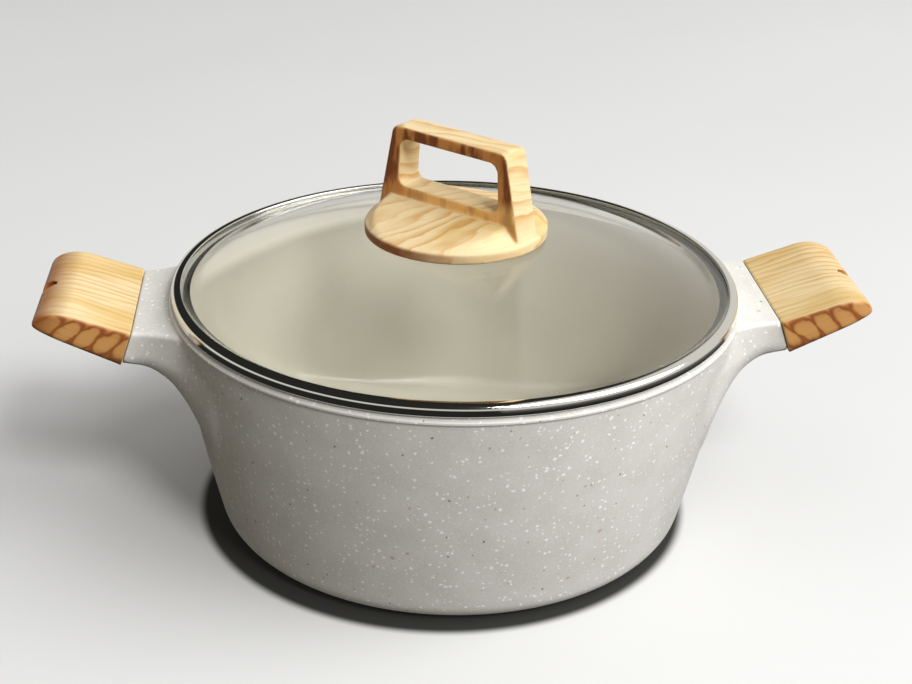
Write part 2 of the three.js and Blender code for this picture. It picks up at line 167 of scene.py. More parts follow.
def object_place(web):
    """The place of a point on the object, in metres."""
    return web.add("ShaderNodeTexCoord", None, None, output=3)


def sheet(name, corners, material):
    """A flat four-cornered piece of studio kit."""
    mesh = bpy.data.meshes.new(name)
    mesh.from_pydata(corners, [], [(0, 1, 2, 3)])
    mesh.materials.append(material)
    card = bpy.data.objects.new(name, mesh)
    bpy.context.scene.collection.objects.link(card)
    return card


camera = bpy.data.objects.new("camera", bpy.data.cameras.new("camera"))
bpy.context.scene.collection.objects.link(camera)
bpy.context.scene.camera = camera
camera.data.lens = camera_lens
camera.data.clip_start = 0.01
sight = Vector((
    math.sin(camera_turn) * math.cos(camera_elevation),
    math.cos(camera_turn) * math.cos(camera_elevation),
    -math.sin(camera_elevation),
))
camera.location = camera_aim - sight * camera_distance
camera.rotation_mode = "QUATERNION"
camera.rotation_quaternion = sight.to_track_quat("-Z", "Y") @ Quaternion((0, 0, 1), camera_roll)

floor_finish, web = finish("pale_floor")
place = object_place(web)
cloud = web.noise(place, 3.0, 4.0)
floor_colour = web.mix(cloud, floor_pale, floor_paler)
# Painted contact shadow: the floor turns near black inside a ring round the pot's foot, set a little to
# the left.
from_middle = web.add("ShaderNodeVectorMath", {"operation": "SUBTRACT"},
                      {0: place, 1: contact_middle})
from_foot = web.add("ShaderNodeVectorMath", {"operation": "LENGTH"}, {0: from_middle}, output=1)
lit = from_foot.between(contact_inner, contact_outer) * 0.97 + 0.03
floor_colour = web.mix(lit, contact_shade, floor_colour)
coat(web, Base_Color=floor_colour, Roughness=0.6, Specular_IOR_Level=0.2)
floor_corners = [(-floor_half, -floor_half, 0), (floor_half, -floor_half, 0),
                 (floor_half, floor_half, 0), (-floor_half, floor_half, 0)]
floor = sheet("floor", floor_corners, floor_finish)
floor.visible_diffuse = False
floor.visible_glossy = False


def soft_light(name, heading, height, size, power):
    """A round soft light: heading from the front towards the right, height above level."""
    lamp = bpy.data.objects.new(name, bpy.data.lights.new(name, "AREA"))
    bpy.context.scene.collection.objects.link(lamp)
    lamp.data.shape = "DISK"
    lamp.data.size = size
    lamp.data.energy = power
    out = Vector((math.sin(heading) * math.cos(height), -math.cos(heading) * math.cos(height),
                  math.sin(height)))
    lamp.location = out * light_distance
    lamp.rotation_mode = "QUATERNION"
    lamp.rotation_quaternion = out.to_track_quat("Z", "Y")


soft_light("front_light", math.radians(23.5), math.radians(46), 0.9, 66.0)
soft_light("side_light", math.radians(70), math.radians(42), 3.5, 125.0)

world = bpy.data.worlds.new("room")
world.use_nodes = True
bpy.context.scene.world = world
web = Web(world.node_tree)
toward = web.add("ShaderNodeTexCoord")
across = web.add("ShaderNodeSeparateXYZ", None, {0: toward}, output=0)
rise = web.add("ShaderNodeSeparateXYZ", None, {0: toward}, output=2)
wall = web.mix(across.between(-0.8, 0.8), (0.20, 0.182, 0.145, 1), (0.55, 0.55, 0.54, 1))
low = web.mix(across.between(-0.8, 0.8), (0.10, 0.09, 0.07, 1), (0.50, 0.50, 0.49, 1))
room = web.mix(rise.between(-0.5, 0.05), low, wall)
room = web.mix(rise.between(0.40, 0.95), room, (0.68, 0.68, 0.68, 1))
level = rise.between(-0.34, -0.05) * (1 - rise.between(0.18, 0.30))
right = across.between(0.195, 0.23) * rise.between(-0.5, -0.1)
pale = level.math("MAXIMUM", level, right)
mirrored = web.mix(pale, (0.02, 0.02, 0.018, 1), (0.74, 0.72, 0.67, 1))
seen = web.add("ShaderNodeLightPath", None, None, output=0)
glossy = web.add("ShaderNodeLightPath", None, None, output=3)
room = web.mix(glossy, room, mirrored)
room = web.mix(seen, room, (0.74, 0.74, 0.735, 1))
background = web.add("ShaderNodeBackground", None, {"Color": room, "Strength": 1.0})
web.add("ShaderNodeOutputWorld", None, {"Surface": background})
bpy.context.scene.view_settings.view_transform = "Standard"

# ---- Pot body ------------------------------------------------------------------------------
# Cast aluminium in one piece with its two lugs, sprayed outside with a grey granite coating
# and lined with a smooth beige one. The lugs swell out of the wall below a rolled rim bead.

rim_radius = 123 * MM
pot_height = 104 * MM
wall_thickness = 3 * MM
floor_thickness = 4.5 * MM
foot_radius = 94 * MM
corner_radius = 11 * MM
wall_flare = math.radians(13.5)
bead_width = 0.8 * MM
bead_height = 3.2 * MM
bead_blend = 1.4 * MM
rim_round = 1.1 * MM
wall_steepness = 0.985
land_depth = 4.8 * MM
disc_radius = 80 * MM
disc_thickness = 1.2 * MM
gap = 0.3 * MM
seam = np.array([rim_radius + 16 * MM, 0, pot_height - 11.4 * MM])
handle_tilt = math.radians(19)
lug_half_width = 34 * MM
lug_root_half_width = 54 * MM
lug_root = rim_radius - 19 * MM
lug_upper = 8 * MM
lug_lower = 7.5 * MM
lug_top_edge = 1.8 * MM
lug_low_edges = (26 * MM, 4 * MM)
lug_fillet_from = 86 * MM
lug_fillet_to = 98 * MM
lug_fillets = (9 * MM, 1.8 * MM)
granite_grey = (0.60, 0.585, 0.55, 1)
granite_shade = (0.55, 0.535, 0.495, 1)
sand_grey = (0.70, 0.685, 0.65, 1)
grit_white = (0.85, 0.84, 0.81, 1)
fleck_white = (0.93, 0.925, 0.90, 1)
fleck_brown = (0.13, 0.075, 0.04, 1)
fleck_rust = (0.38, 0.19, 0.08, 1)
lining_beige = (0.53, 0.505, 0.425, 1)
lining_pale = (0.56, 0.535, 0.455, 1)
lining_speck = (0.30, 0.27, 0.22, 1)


def join(first, second, radius):
    """Two solids as one, with a round fillet between them."""
    near = np.hypot(np.maximum(radius - first, 0), np.maximum(radius - second, 0))
    return np.maximum(radius, np.minimum(first, second)) - near


def meet(first, second, radius):
    """What two solids share, with a round edge where their faces cross."""
    near = np.hypot(np.maximum(radius + first, 0), np.maximum(radius + second, 0))
    return np.minimum(-radius, np.maximum(first, second)) + near


def bow(start, control, end, steps=60):
    """Points along a curve that leaves start towards control and arrives at end from it."""
    t = np.linspace(0, 1, steps)[:, None]
    start, control, end = (np.array(p, float) for p in (start, control, end))
    return (1 - t) ** 2 * start + 2 * t * (1 - t) * control + t ** 2 * end


wall_foot = (foot_radius + corner_radius * math.cos(wall_flare),
             corner_radius * (1 - math.sin(wall_flare)))
wall_top = (rim_radius - bead_width, pot_height - bead_height)
wall_rise = (wall_top[1] - wall_foot[1]) / 2
wall_curve = bow(wall_foot,
                 (wall_foot[0] + wall_rise * math.tan(wall_flare), wall_foot[1] + wall_rise),
                 wall_top)


def wall_radius(z):
    """Outer radius of the wall at a height."""
    return np.interp(z, wall_curve[:, 1], wall_curve[:, 0])


def handle_place(points, side):
    """Points in a handle's own frame, moved out to the right (1) or left (-1) side of the pot."""
    cos, sin = math.cos(handle_tilt), math.sin(handle_tilt)
    x, y, z = np.asarray(points).T
    out = seam[0] + x * cos - z * sin
    return np.stack([side * out, side * y, seam[2] + x * sin + z * cos], axis=1)


seam_top = handle_place([(0, 0, lug_upper)], 1)[0]
seam_low = handle_place([(0, 0, -lug_lower)], 1)[0]
lug_over = bow((lug_root, wall_top[1] + 1.6 * MM), (rim_radius - 1 * MM, seam_top[2]),
               (seam_top[0], seam_top[2]))
lug_under = bow((lug_root, pot_height - 56 * MM), (lug_root + 14 * MM, seam_low[2] - 5 * MM),
                (seam_low[0], seam_low[2]))
lug_flare = bow((lug_root, lug_root_half_width), (lug_root + 17 * MM, lug_half_width - 1.5 * MM),
                (seam[0], lug_half_width))


def lug_field(x, y, z):
    """Negative inside a lug, for x outward from the pot's axis."""
    top = np.interp(x, lug_over[:, 0], lug_over[:, 1])
    low = np.interp(x, lug_under[:, 0], lug_under[:, 1])
    width = np.interp(x, lug_flare[:, 0], lug_flare[:, 1])
    lower_round = np.interp(x, (lug_root, seam[0]), lug_low_edges)
    middle = (top + low) / 2
    edge = np.where(z > middle, lug_top_edge, np.minimum(lower_round, (top - low) / 2))
    across = np.abs(y) - width + edge
    up = np.abs(z - middle) - (top - low) / 2 + edge
    section = np.minimum(np.maximum(across, up), 0) - edge
    section = section + np.hypot(np.maximum(across, 0), np.maximum(up, 0))
    end = (x - seam[0]) * math.cos(handle_tilt) + (z - seam[2]) * math.sin(handle_tilt)
    return meet(section, end, 0.7 * MM)


def pot_field(x, y, z):
    """Negative inside the pot's outer shape, filled solid."""
    bead = bead_width * np.clip((z - wall_top[1] + 0.3 * MM) / bead_blend, 0, 1) ** 2
    wall = (np.hypot(x, y) - wall_radius(z) - bead) * wall_steepness
    fillet = np.interp(z, (lug_fillet_from, lug_fillet_to), lug_fillets)
    body = join(wall, lug_field(np.abs(x), y, z), fillet)
    return meet(body, z - pot_height, rim_round)


ray_height = 75 * MM
ray_fan = math.radians(20)
ray_start = 85 * MM
ray_end = 165 * MM
ray_halvings = 26


def outer_point(turn, slope):
    """Where a ray from the pot's axis leaves the metal. Rays keep level across a lug."""
    from_handle = np.abs((turn + math.pi / 2) % math.pi - math.pi / 2)
    steep = slope * np.cos(np.minimum(from_handle, ray_fan))
    near = np.full(np.broadcast(turn, slope).shape, ray_start)
    far = np.full(near.shape, ray_end)
    for _ in range(ray_halvings):
        middle = (near + far) / 2
        value = pot_field(middle * np.cos(turn), middle * np.sin(turn), ray_height + middle * steep)
        near = np.where(value < 0, middle, near)
        far = np.where(value < 0, far, middle)
    return np.stack([near * np.cos(turn), near * np.sin(turn), ray_height + near * steep], axis=-1)


def spread(stations, traces, straight, bend):
    """Stations thinned out so that no step is longer than straight or turns more than bend."""
    cost = np.zeros(len(stations) - 1)
    for trace in traces:
        step = np.diff(trace, axis=0)
        length = np.linalg.norm(step, axis=1)
        heading = step / np.maximum(length, 1e-12)[:, None]
        turned = np.arccos(np.clip((heading[1:] * heading[:-1]).sum(1), -1, 1))
        turned = np.convolve(np.append(turned, 0), np.ones(9) / 9, "same")
        cost = np.maximum(cost, length / straight + turned / bend)
    total = np.append(0, np.cumsum(cost))
    count = int(math.ceil(total[-1]))
    return np.interp(np.linspace(0, total[-1], count + 1), total, stations)


rays_from = 25 * MM
rim_crest = rim_radius - 2.4 * MM
sharpest = math.radians(9)
slopes = np.linspace((rays_from - ray_height) / wall_radius(rays_from),
                     (pot_height - ray_height) / rim_crest, 1600)
sections = [outer_point(np.array(turn), slopes) for turn in (0.0, math.pi / 2)]
slopes = spread(slopes, sections, 1.6 * MM, sharpest)
turns = np.linspace(0, math.pi / 2, 2400)
plan = outer_point(turns, np.array((seam[2] - ray_height) / seam[0]))
turns = spread(turns, [plan], 3.4 * MM, sharpest)
turns = np.concatenate([turns, math.pi - turns[-2:0:-1]])
turns = np.concatenate([turns, turns + math.pi])


def ring(radius, z):
    """One level ring of the pot."""
    return np.stack([radius * np.cos(turns), radius * np.sin(turns), np.full(len(turns), z)], axis=1)


def rounded(corners, closed=False):
    """Outline through corners of (x, y, radius), each turned on an arc of its radius."""
    outline = []
    for i, (x, y, radius) in enumerate(corners):
        here = np.array([x, y], float)
        if radius == 0 or (not closed and i in (0, len(corners) - 1)):
            outline.append(here)
            continue
        arms = [np.array(corners[j % len(corners)][:2]) - here for j in (i - 1, i + 1)]
        before, after = (arm / np.linalg.norm(arm) for arm in arms)
        half = math.acos(max(-1, min(1, before @ after))) / 2
        middle = here + (before + after) / np.linalg.norm(before + after) * radius / math.sin(half)
        start, end = (here + arm * radius / math.tan(half) - middle for arm in (before, after))
        sweep = math.pi - 2 * half
        steps = max(2, int(sweep / math.radians(12)))
        for step in range(steps + 1):
            angle = sweep * step / steps
            arc = (start * math.sin(sweep - angle) + end * math.sin(angle)) / math.sin(sweep)
            outline.append(middle + arc)
    return np.array(outline)


def arc(centre, radius, start, end, steps):
    """Points round a centre, from one angle to another in degrees."""
    angles = np.radians(np.linspace(start, end, steps + 1))
    return np.stack([centre[0] + radius * np.cos(angles), centre[1] + radius * np.sin(angles)], axis=1)


def wrapped(rings, closed=False):
    """Vertices and faces of a skin through rings of points. A ring of one point is a pole."""
    vertices = np.concatenate([np.atleast_2d(r) for r in rings])
    first = np.cumsum([0] + [len(np.atleast_2d(r)) for r in rings])
    faces = []
    for level in range(len(rings) if closed else len(rings) - 1):
        above = (level + 1) % len(rings)
        low, high = first[level], first[above]
        low_count, high_count = first[level + 1] - low, first[above + 1] - high
        for i in range(max(low_count, high_count)):
            j = (i + 1) % max(low_count, high_count)
            if low_count == 1:
                faces.append((low, high + j, high + i))
            elif high_count == 1:
                faces.append((low + i, low + j, high))
            else:
                faces.append((low + i, low + j, high + j, high + i))
    return vertices, faces


def piece(name, vertices, faces, materials, body, slot, *nodes):
    """A smooth mesh that rides on a body and stands for some CAD nodes. Its slot argument is not used.
    """
    mesh = bpy.data.meshes.new(name)
    mesh.from_pydata(np.asarray(vertices).tolist(), [], [tuple(map(int, f)) for f in faces])
    for material in materials:
        mesh.materials.append(material)
    mesh.shade_smooth()
    mesh.validate()
    made = bpy.data.objects.new(name, mesh)
    bpy.context.scene.collection.objects.link(made)
    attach(made, body)
    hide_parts(*nodes)
    return made


# Outside: granite coating with white flecks of two sizes, sparse dark and rust ones, and a mottle.
granite, web = finish("granite_coating")
place = object_place(web)
raggedness = 0.0016
warp = web.add("ShaderNodeMix", {"data_type": "VECTOR"},
               {0: raggedness, 4: place, 5: web.noise(place, 700.0, 2.0, output=1)}, output=1)


def flecks(web, place, spacing, size, share):
    """Mask of ragged flecks: one in each cell of that spacing, kept in a share of the cells."""
    cell = web.add("ShaderNodeTexVoronoi", None, {"Vector": place, "Scale": 1 / spacing})
    tint = web.add("ShaderNodeTexVoronoi", None, {"Vector": place, "Scale": 1 / spacing}, output=1)
    chance = web.add("ShaderNodeSeparateColor", None, {0: tint})
    bulk = web.add("ShaderNodeSeparateColor", None, {0: tint}, output=1)
    radius = (0.35 + 0.65 * bulk) * (size / spacing)
    return (1 - (cell / radius).between(0.55, 1.0)) * (chance < share)


white = flecks(web, warp, 2.2 * MM, 0.95 * MM, 0.48)
grit = flecks(web, warp, 1.3 * MM, 0.42 * MM, 0.55)
dark = flecks(web, warp, 3.6 * MM, 0.72 * MM, 0.26)
rust = flecks(web, warp, 6.5 * MM, 1.3 * MM, 0.16)
mottle = web.noise(place, 60.0, 4.0)
sand = web.noise(place, 1500.0, 2.0)
tone = web.mix(mottle.between(0.35, 0.65), granite_shade, granite_grey)
tone = web.mix(sand.between(0.3, 0.7) * 0.45, tone, sand_grey)
tone = web.mix(grit * 0.4, tone, grit_white)
tone = web.mix(dark * 0.8, tone, fleck_brown)
tone = web.mix(rust * 0.5, tone, fleck_rust)
tone = web.mix(white * 0.75, tone, fleck_white)
relief = web.bump(white * 0.6 + sand * 0.4, 0.25, 0.08 * MM)
coat(web, Base_Color=tone, Roughness=0.42 + mottle * 0.1, Normal=relief, Coat_Weight=0.12,
     Coat_Roughness=0.3)

# Inside: smooth beige lining with a few faint specks.
lining, web = finish("beige_lining")
place = object_place(web)
speck = flecks(web, place, 9 * MM, 0.5 * MM, 0.35)
mottle = web.noise(place, 30.0, 3.0)
tone = web.mix(mottle.between(0.3, 0.7), lining_beige, lining_pale)
tone = web.mix(speck * 0.35, tone, lining_speck)
coat(web, Base_Color=tone, Roughness=0.38 + mottle * 0.08, Coat_Weight=0.15, Coat_Roughness=0.2)

recess = disc_thickness + gap
under = rounded([(20 * MM, recess, 0), (disc_radius + gap, recess, 0.2 * MM),
                 (disc_radius + gap, 0, 0.5 * MM), (foot_radius - 4 * MM, 0, 0)])
corner = arc((foot_radius, corner_radius), corner_radius, -90, -math.degrees(wall_flare), 10)
low_wall = np.stack([wall_radius(z) * np.array([1, 0]) + np.array([0, z])
                     for z in np.linspace(wall_foot[1], 22 * MM, 6)[1:]])
inner_radius = rim_radius - wall_thickness
land = pot_height - land_depth
mouth = rounded([(rim_radius - 2.6 * MM, pot_height, 0), (inner_radius, pot_height, 0.9 * MM),
                 (inner_radius, land, 4 * MM),
                 (wall_radius(84 * MM) - wall_thickness, 84 * MM, 0)])
inner_wall = np.array([(wall_radius(z) - wall_thickness, z) for z in np.linspace(82, 14, 18) * MM])
basin = arc((foot_radius + 0.4 * MM, floor_thickness + 8 * MM), 8 * MM,
            -math.degrees(wall_flare), -90, 8)
floor_line = np.array([(r, floor_thickness) for r in (80 * MM, 50 * MM, 20 * MM)])
outside = [ring(r, z) for r, z in np.concatenate([under, corner, low_wall])]
outside += [outer_point(turns, np.array(slope)) for slope in slopes]
inside = [ring(r, z) for r, z in np.concatenate([mouth, inner_wall, basin, floor_line])]
rings = [np.array([[0, 0, recess]])] + outside + inside + [np.array([[0, 0, floor_thickness]])]
vertices, faces = wrapped(rings)
casting = piece("pot_casting", vertices, faces, [granite, lining], "pot", "speckled_coating",
                "pot_body")
columns = len(turns)
lining_from = (len(outside) + 3) * columns
for polygon in casting.data.polygons:
    polygon.material_index = int(polygon.index >= lining_from)

# ---- Grips ---------------------------------------------------------------------------------
# Each is a resin sleeve that slides onto the lug's tang, with a recess for its screw. A printed
# wood film covers it, pale on top and browner round the sides, and its end rolls to a thin edge.
# The sides darken towards the underside, and the left grip's rolled end is browned far more than
# the right's; both are painted shade.

tang_length = 27 * MM
tang_half_width = 14 * MM
tang_rise = 1.6 * MM
tang_thickness = 5.5 * MM
grip_length = 40 * MM
grip_half_width = 35 * MM
grip_roll = 16 * MM
grip_narrowing = 4.5 * MM
grip_taper = 0.117
grip_end_height = 1.2 * MM
screw_radius = 2 * MM
recess_radius = 3.5 * MM
grip_web = 3.2 * MM
pale_wood = (0.585, 0.41, 0.15, 1)
cream_wood = (0.70, 0.56, 0.325, 1)
golden_wood = (0.50, 0.26, 0.06, 1)
tan_wood = (0.52, 0.265, 0.085, 1)
brown_wood = (0.26, 0.078, 0.017, 1)
dark_wood = (0.13, 0.045, 0.013, 1)
grain_brown = (0.55, 0.34, 0.12, 1)
scale_edge = (0.50, 0.23, 0.065, 1)
scale_gap = (0.44, 0.19, 0.055, 1)


def cell_corners(values):
    """The eight corner values of every cell of a grid."""
    ends = (slice(None, -1), slice(1, None))
    return [values[a, b, c] for a in ends for b in ends for c in ends]


def moulded(field, low, high, step):
    """Closed skin of quads round the inside of a field, drawn tight onto its surface."""
    low, high = np.array(low), np.array(high)
    counts = np.ceil((high - low) / step).astype(int) + 1
    axes = [low[k] + step * np.arange(counts[k]) for k in range(3)]
    grid = np.meshgrid(*axes, indexing="ij")
    solid = field(*grid) < 0
    filled = sum(corner.astype(int) for corner in cell_corners(solid))
    mixed = (filled > 0) & (filled < 8)
    number = np.full(mixed.shape, -1)
    number[mixed] = np.arange(mixed.sum())
    points = np.argwhere(mixed) * step + low + step / 2
    nudge = 0.02 * step
    for _ in range(12):
        value = field(*points.T)
        slope = np.stack([(field(*(points + nudge * axis).T) - value) / nudge for axis in np.eye(3)], 1)
        length = np.maximum((slope ** 2).sum(1), 0.05)
        shift = -slope * (value / length)[:, None]
        points = points + np.clip(shift, -0.4 * step, 0.4 * step)
    quads = []
    for axis in range(3):
        b, c = (axis + 1) % 3, (axis + 2) % 3
        inner = [slice(1, -1)] * 3
        inner[axis] = slice(None, -1)
        outer = list(inner)
        outer[axis] = slice(1, None)
        here, there = solid[tuple(inner)], solid[tuple(outer)]
        start = np.zeros(3, int)
        start[[b, c]] = 1
        for crossing, flip in ((here & ~there, False), (~here & there, True)):
            base = np.argwhere(crossing) + start
            around = [base - np.eye(3, dtype=int)[b] - np.eye(3, dtype=int)[c],
                      base - np.eye(3, dtype=int)[c], base, base - np.eye(3, dtype=int)[b]]
            quad = np.stack([number[tuple(cell.T)] for cell in around], axis=1)
            quads.append(quad[:, ::-1] if flip else quad)
    return points, np.concatenate(quads)


def box_field(x, y, z, low, high):
    """Negative inside a plain box."""
    spans = [np.maximum(a - value, value - b) for value, a, b in zip((x, y, z), low, high)]
    return np.maximum(np.maximum(spans[0], spans[1]), spans[2])


def rolled(x, z, start, reach, drop):
    """Negative below a face at z = 0 that rolls down by drop over its last reach of x."""
    along = np.maximum(x - start, 0) / reach
    up = np.maximum(z + drop, 0) / drop
    near = np.hypot(along, up)
    tilt = np.maximum(np.hypot(along / reach, up / drop), 1e-9)
    return np.where(up > 0, near * (near - 1) / tilt, np.maximum(x - start - reach, -drop))


def grip_field(x, y, z):
    """Negative inside a grip, in the handle's own frame: x outward from the seam."""
    underside = -lug_lower + grip_taper * x
    end_top = -lug_lower + grip_taper * grip_length + grip_end_height
    roll_start = grip_length - grip_roll
    top = rolled(x, z - lug_upper, roll_start, grip_roll, lug_upper - end_top)
    side = rolled(x, np.abs(y) - grip_half_width, roll_start, grip_roll, grip_narrowing)
    shell = meet(top, side, 1.4 * MM)
    shell = meet(shell, underside - z, 2.2 * MM)
    shell = meet(shell, gap - x, 0.4 * MM)
    shell = meet(shell, x - grip_length, 0.5 * MM)
    slot = box_field(x, y, z, (-MM, -tang_half_width - gap, tang_rise - tang_thickness / 2 - gap),
                     (tang_length + gap, tang_half_width + gap, tang_rise + tang_thickness / 2 + gap))
    axis = np.hypot(y, z - tang_rise)
    bore = np.maximum(axis - screw_radius - gap, tang_length - x)
    bore = np.maximum(bore, x - tang_length - grip_web - MM)
    well = np.maximum(axis - recess_radius, tang_length + gap + grip_web - x)
    return meet(np.maximum(np.maximum(shell, -slot), -bore), -well, 0.35 * MM)


def note(made, name, values):
    """Writes one number or one vector for each vertex of a mesh."""
    values = np.asarray(values, np.float32)
    kind, key = ("FLOAT_VECTOR", "vector") if values.ndim == 2 else ("FLOAT", "value")
    made.data.attributes.new(name, kind, "POINT").data.foreach_set(key, values.ravel())


def facing(field, points):
    """Unit outward directions of a field's surface."""
    nudge = 0.3 * MM
    slope = np.stack([field(*(points + nudge * axis).T) - field(*(points - nudge * axis).T)
                      for axis in np.eye(3)], axis=1)
    return slope / np.maximum(np.linalg.norm(slope, axis=1), 1e-12)[:, None]


def wood_film(name, ring_width, bend, cream_share, flank_print):
    """Printed wood on three attributes: grain runs along, across and into the growth rings, side
    is where the flank print shows, and end is where the film is darkened to brown: a little on the
    grips' rolled ends, with more on the left grip and on the knob's left rim as painted shade."""
    material, web = finish(name)
    grain = web.add("ShaderNodeAttribute", {"attribute_name": "grain"}, None, output=1)
    side = web.add("ShaderNodeAttribute", {"attribute_name": "side"}, None, output=2)
    end = web.add("ShaderNodeAttribute", {"attribute_name": "end"}, None, output=2)
    across = web.add("ShaderNodeSeparateXYZ", None, {0: grain}, output=1)
    drift = web.noise(web.stretched(grain, 22, 55, 55), 1.0, 2.0)
    tremble = web.noise(web.stretched(grain, 60, 260, 260), 1.0, 2.0)
    rings = across * (1 / ring_width) + drift * bend + tremble * 0.5
    growth = rings.math("FRACT", rings)
    late = growth.math("POWER", growth, 2.4) * (1 - growth.between(0.88, 1.0))
    fine = web.noise(web.stretched(grain, 45, 1300, 1300), 1.0, 3.0)
    strength = web.noise(web.stretched(grain, 16, 75, 75), 1.0, 2.0).between(0.34, 0.62)
    wash = web.noise(web.stretched(grain, 12, 45, 45), 1.0, 3.0)
    tone = web.mix(wash.between(0.36 + cream_share, 0.62 + cream_share), cream_wood, pale_wood)
    tone = web.mix(fine.between(0.48, 0.8) * 0.4, tone, grain_brown)
    tone = web.mix(late * (0.35 + 0.65 * strength) * 1.15, tone, golden_wood)
    flank = flank_print(web, grain)
    flank = web.mix(fine.between(0.5, 0.8) * 0.25, flank, dark_wood)
    tone = web.mix(side, tone, flank)
    tone = web.mix(end * (0.75 + 0.5 * tremble), tone, brown_wood)
    pores = web.bump(fine, 0.12, 0.05 * MM)
    coat(web, Base_Color=tone, Roughness=0.42 + fine * 0.12, Normal=pores, Specular_IOR_Level=0.28)
    return material


scale_pitch = 8.4 * MM
scale_depth = 6.5 * MM


def scalloped(web, grain):
    """End grain round the side of a grip: a row of tan scales, each under a brown arc."""
    along = web.add("ShaderNodeSeparateXYZ", None, {0: grain}, output=0)
    height = web.add("ShaderNodeSeparateXYZ", None, {0: grain}, output=2)
    swirl = web.noise(web.stretched(grain, 130, 130, 90), 1.0, 2.0)
    rough = web.noise(web.stretched(grain, 500, 500, 400), 1.0, 3.0)
    row = along * (1 / scale_pitch) + swirl * 0.7 + height * 60
    place = (row.math("FRACT", row) - 0.5) * 2
    drop = (height - 1.0 * MM) * (1 / scale_depth) + (swirl - 0.5) * 0.8
    reach = place * place + drop * drop + (rough - 0.5) * 0.35
    tone = web.mix(reach.between(0.15, 0.75), tan_wood, scale_edge)
    tone = web.mix(reach.between(0.55, 0.95), tone, brown_wood)
    tone = web.mix(reach.between(1.15, 1.9), tone, scale_gap)
    # Painted shade: the flank print darkens towards the underside of the grip.
    painted_underside_shade = 1 - height.between(-7 * MM, -1.5 * MM)
    return web.mix(painted_underside_shade * 0.75, tone, dark_wood)


grip_film = wood_film("grip_wood_film", 4.4 * MM, 2.6, 0.0, scalloped)
grip_step = 0.62 * MM
grip_room = np.array([1.5 * MM, 2 * MM, 1.5 * MM])
points, quads = moulded(grip_field, np.array([0, -grip_half_width, -lug_upper]) - grip_room,
                        np.array([grip_length, grip_half_width, lug_upper]) + grip_room, grip_step)
outward = facing(grip_field, points)
side_print = np.clip((np.maximum(np.abs(outward[:, 1]), -outward[:, 2]) - 0.30) / 0.5, 0, 1)
roll_darkening = np.clip((points[:, 0] - 27 * MM) / (10 * MM), 0, 1)
# The rolled end is browned a little on the right grip and heavily on the left; the left's extra
# darkening is painted shade on the side away from the light.
for side, name, browning_and_shade in ((1, "right_grip", 0.12), (-1, "left_grip", 0.8)):
    made = piece(f"{name}_sleeve", handle_place(points, side), quads, [grip_film], "pot", "wood_look",
                 name)
    note(made, "grain", points + np.array([0.31 * side, 0.07 * side, 0]))
    note(made, "side", side_print)
    note(made, "end", roll_darkening * browning_and_shade)

# ---- Screws and washers --------------------------------------------------------------------
# Stainless steel, brushed. Each grip has a screw and a spring washer in its end, and the knob has
# a screw and a flat washer under the glass.

brushed, web = finish("brushed_steel")
place = object_place(web)
brush = web.noise(web.stretched(place, 3000, 3000, 200), 1.0, 3.0)
tone = web.mix(brush, (0.55, 0.56, 0.57, 1), (0.72, 0.73, 0.74, 1))
coat(web, Base_Color=tone, Metallic=1.0, Roughness=0.24 + brush * 0.16,
     Normal=web.bump(brush, 0.1, 0.02 * MM))
for node in ("right_grip_screw", "left_grip_screw", "right_grip_washer", "left_grip_washer",
             "knob_screw", "knob_washer"):
    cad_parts[node].material_slots[0].material = brushed

# ---- Induction disc ------------------------------------------------------------------------
# Stainless steel, spun to a fine ring pattern and pierced with rings of round holes. It is
# pressed flush into the underside of the hot casting, whose metal holds it by the holes.

spun, web = finish("spun_steel")
place = object_place(web)
from_axis = web.add("ShaderNodeVectorMath", {"operation": "LENGTH"},
                    {0: web.stretched(place, 1, 1, 0)}, output=1)
turning = web.add("ShaderNodeCombineXYZ", None, {0: from_axis * 2600})
brush = web.noise(turning, 1.0, 3.0)
coat(web, Base_Color=web.mix(brush, (0.50, 0.51, 0.52, 1), (0.68, 0.69, 0.70, 1)), Metallic=1.0,
     Roughness=0.26 + brush * 0.18, Normal=web.bump(brush, 0.12, 0.02 * MM))

disc_sizes = {"Disc Radius": disc_radius, "Thickness": disc_thickness, "Hole Radius": 3.2 * MM,
              "First Ring": 26 * MM, "Ring Step": 20 * MM}
tree = bpy.data.node_groups.new("perforated_disc", "GeometryNodeTree")
web = Web(tree)
tree.interface.new_socket("Disc", in_out="OUTPUT", socket_type="NodeSocketGeometry")
sizes = []
for name in disc_sizes:
    tree.interface.new_socket(name, in_out="INPUT", socket_type="NodeSocketFloat")
    sizes.append(web.add("NodeGroupInput", None, None, output=len(sizes)))
radius, thickness, hole, first_ring, ring_step = sizes
blank = web.add("GeometryNodeMeshCylinder", None,
                {"Vertices": 160, "Radius": radius, "Depth": thickness})
punch = web.add("GeometryNodeMeshCylinder", None,
                {"Vertices": 20, "Radius": hole, "Depth": thickness * 3})
punches = []
for row in range(3):
    places = web.add("GeometryNodeMeshCircle", None,
                     {"Vertices": 6 * (row + 1), "Radius": first_ring + ring_step * row})
    punches.append(web.add("GeometryNodeInstanceOnPoints", None,
                           {"Points": places, "Instance": punch}))
punches = web.add("GeometryNodeJoinGeometry", None, {"Geometry": punches})
punches = web.add("GeometryNodeRealizeInstances", None, {"Geometry": punches})
disc = web.add("GeometryNodeMeshBoolean", {"operation": "DIFFERENCE"},
               {"Mesh 1": blank, "Mesh 2": punches})
lift = web.add("ShaderNodeCombineXYZ", None, {2: thickness * 0.5})
disc = web.add("GeometryNodeTransform", None, {"Geometry": disc, "Translation": lift})
disc = web.add("GeometryNodeRealizeInstances", None, {"Geometry": disc})
disc = web.add("GeometryNodeSetMaterial", None, {"Geometry": disc, "Material": spun})
web.add("NodeGroupOutput", None, {0: disc})

